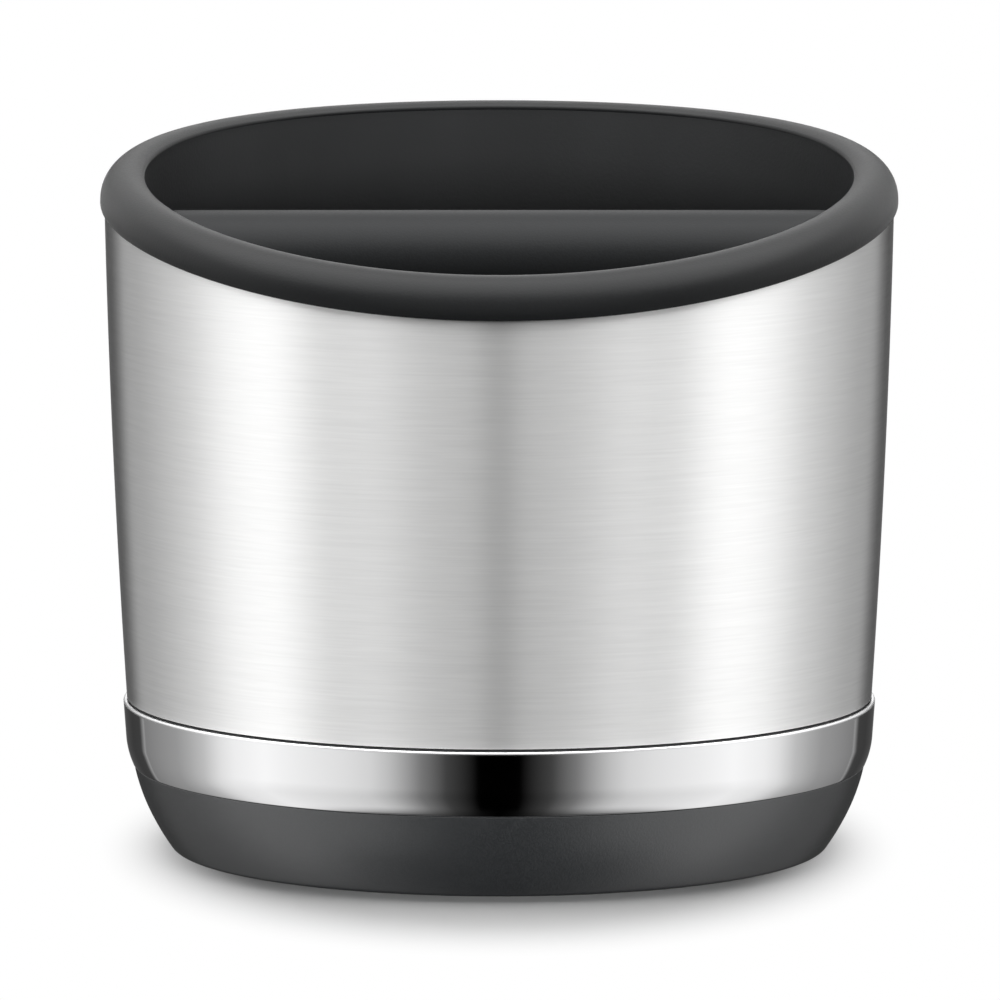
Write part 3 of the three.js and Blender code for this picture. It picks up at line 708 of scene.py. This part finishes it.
BELOW = [
    (0.0, 0.0), (0.05, 0.01), (0.1, 0.05), (0.2, 0.17), (0.3, 0.3), (0.36, 0.48), (0.44, 1.0), (0.5, 1.3),
    (0.56, 1.05), (0.62, 0.68), (0.7, 0.4), (0.8, 0.22), (0.9, 0.12), (1.0, 0.1),
]
LOW = [
    (0.0, 0.0), (0.036, 0.0), (0.048, 0.011), (0.09, 0.055), (0.133, 0.2), (0.19, 0.56), (0.222, 0.71),
    (0.267, 0.8), (0.36, 0.93), (0.43, 1.04), (0.5, 0.94), (0.533, 0.82), (0.58, 0.55), (0.622, 0.42),
    (0.66, 0.33), (0.78, 0.22), (0.788, 0.21), (0.793, 0.34), (0.798, 0.24), (0.814, 0.05), (0.867, 0.045),
    (0.933, 0.07), (0.972, 0.14), (1.0, 0.7),
]
HIGH = [
    (0.0, 0.2), (0.044, 1.42), (0.089, 1.05), (0.133, 1.04), (0.178, 0.88), (0.222, 0.95), (0.267, 0.34),
    (0.311, 0.02), (0.356, 0.92), (0.4, 1.74), (0.444, 1.55), (0.489, 1.77), (0.533, 1.62), (0.578, 1.4),
    (0.622, 1.38), (0.667, 1.12), (0.711, 0.9), (0.756, 0.5), (0.8, 1.4), (0.844, 0.15), (0.889, 0.0),
    (0.933, 0.17), (0.97, 0.7), (1.0, 1.4),
]

# Heights of a reflected ray, from straight down (-1) to straight up (1), over which one thing turns
# into the next
FLOOR_LINE, HORIZON, CEILING_EDGE = (-0.86, -0.68), (-0.1, 0.2), (0.85, 0.97)
BELOW_DIMS, LOW_DIMS, LOW_LEANS, WALL_RISES = (-0.92, -0.6), (-0.5, -0.3), (-0.5, -0.22), (0.2, 0.5)

# The turns over which the pale wall behind begins
WALL_TURNS = (0.62, 0.74)

# The share of their light that the dimmed panels lose, how far the low ones lean, and how much lower
# the ceiling comes at the sides
BELOW_DIM, LOW_DIM, LOW_LEAN, CEILING_DROP = 0.75, 0.12, 0.93, 0.35

BLACK, WHITE = (0, 0, 0, 1), (1, 1, 1, 1)
WALL_WHITE, CEILING_WHITE, FLOOR_WHITE = (1.3, 1.3, 1.3, 1), (5, 5, 5, 1), (0.8, 0.8, 0.8, 1)


def studio():
    """A white studio: a dark strip ahead, soft panels at the sides, a pale wall behind and a bright
    ceiling. It is seen in the glossy surfaces only, and the lamps below give the soft light."""
    world = bpy.data.worlds.new("studio")
    bpy.context.scene.world = world
    world.use_nodes = True
    world.cycles_visibility.diffuse = False
    g = Graph(world.node_tree)
    ray = g.node("TexCoord", out="Generated")
    x, y, z = (g.node("SeparateXYZ", None, {"Vector": ray}, axis) for axis in "XYZ")
    turn = abs(g.math("ARCTAN2", x, 0.0 - y)) / math.pi
    leaned = turn * g.spread(z, *LOW_LEANS, LOW_LEAN, 1.0, smooth=True)
    below = g.node("ValToRGB", {"stops": BELOW}, {"Fac": turn})
    low = g.node("ValToRGB", {"stops": LOW}, {"Fac": leaned})
    high = g.node("ValToRGB", {"stops": HIGH}, {"Fac": turn})
    below = g.mix(g.spread(z, *BELOW_DIMS, BELOW_DIM, 0.0), below, BLACK)
    low = g.mix(g.spread(z, *LOW_DIMS, LOW_DIM, 0.0), low, BLACK)
    level = g.mix(g.spread(z, *FLOOR_LINE, smooth=True), below, low)
    panels = g.mix(g.spread(z, *HORIZON, smooth=True), level, high)
    behind = g.spread(turn, *WALL_TURNS) * g.spread(z, *WALL_RISES)
    panels = g.mix(behind, panels, WALL_WHITE)
    overhead = g.spread(z + abs(x) * CEILING_DROP, *CEILING_EDGE, smooth=True)
    panels = g.mix(overhead, panels, CEILING_WHITE)
    seen = g.node("LightPath", out="Is Camera Ray")
    background = g.mix(seen, panels, WHITE)
    g.output("World", g.node("Background", None, {"Color": background, "Strength": 1.0}))


# The oval round the box where the floor shows its shadow, as half widths in metres, and the shares of
# it over which the shadow fades out
SHADOW_OVAL, SHADOW_FADE = (0.058, 0.098, 1), (0.78, 1.18)
FLOOR_RADIUS = 6


def floor():
    """A white floor that keeps the shadow near the object and is plain white further out."""
    material, g = blank_material("floor_white")
    place = g.node("TexCoord", out="Object")
    squeezed = g.node("VectorMath", {"operation": "DIVIDE"}, {0: place, 1: SHADOW_OVAL})
    distance = g.node("VectorMath", {"operation": "LENGTH"}, {0: squeezed}, "Value")
    seen = g.node("LightPath", out="Is Camera Ray")
    far = g.spread(distance, *SHADOW_FADE, smooth=True) * seen
    matt = g.node("BsdfDiffuse", None, {"Color": FLOOR_WHITE})
    white = g.node("Emission", None, {"Color": WHITE, "Strength": 1.0})
    g.output("Material", g.node("MixShader", None, {0: far, 1: matt, 2: white}))
    bm = bmesh.new()
    bmesh.ops.create_circle(bm, cap_ends=True, radius=FLOOR_RADIUS, segments=64)
    piece = in_scene("floor", meshed("floor", bm, material))
    piece.visible_glossy = False


def lamp(name, place, aim, width, depth, power):
    light = bpy.data.lights.new(name, "AREA")
    light.shape = "RECTANGLE"
    light.size, light.size_y, light.energy = width, depth, power
    piece = in_scene(name, light)
    piece.location = place
    piece.rotation_euler = (Vector(aim) - Vector(place)).to_track_quat("-Z", "Y").to_euler()
    piece.visible_glossy = piece.visible_camera = False


studio()
floor()
lamp("overhead_softbox", place=(0, 0.13, 1.5), aim=(0, 0.13, 0), width=1.3, depth=0.9, power=18.0)
lamp("front_fill", place=(0, -0.8, 0.11), aim=(0, 0, 0.11), width=0.4, depth=0.22, power=4.3)

bpy.context.scene.view_settings.view_transform = "Standard"
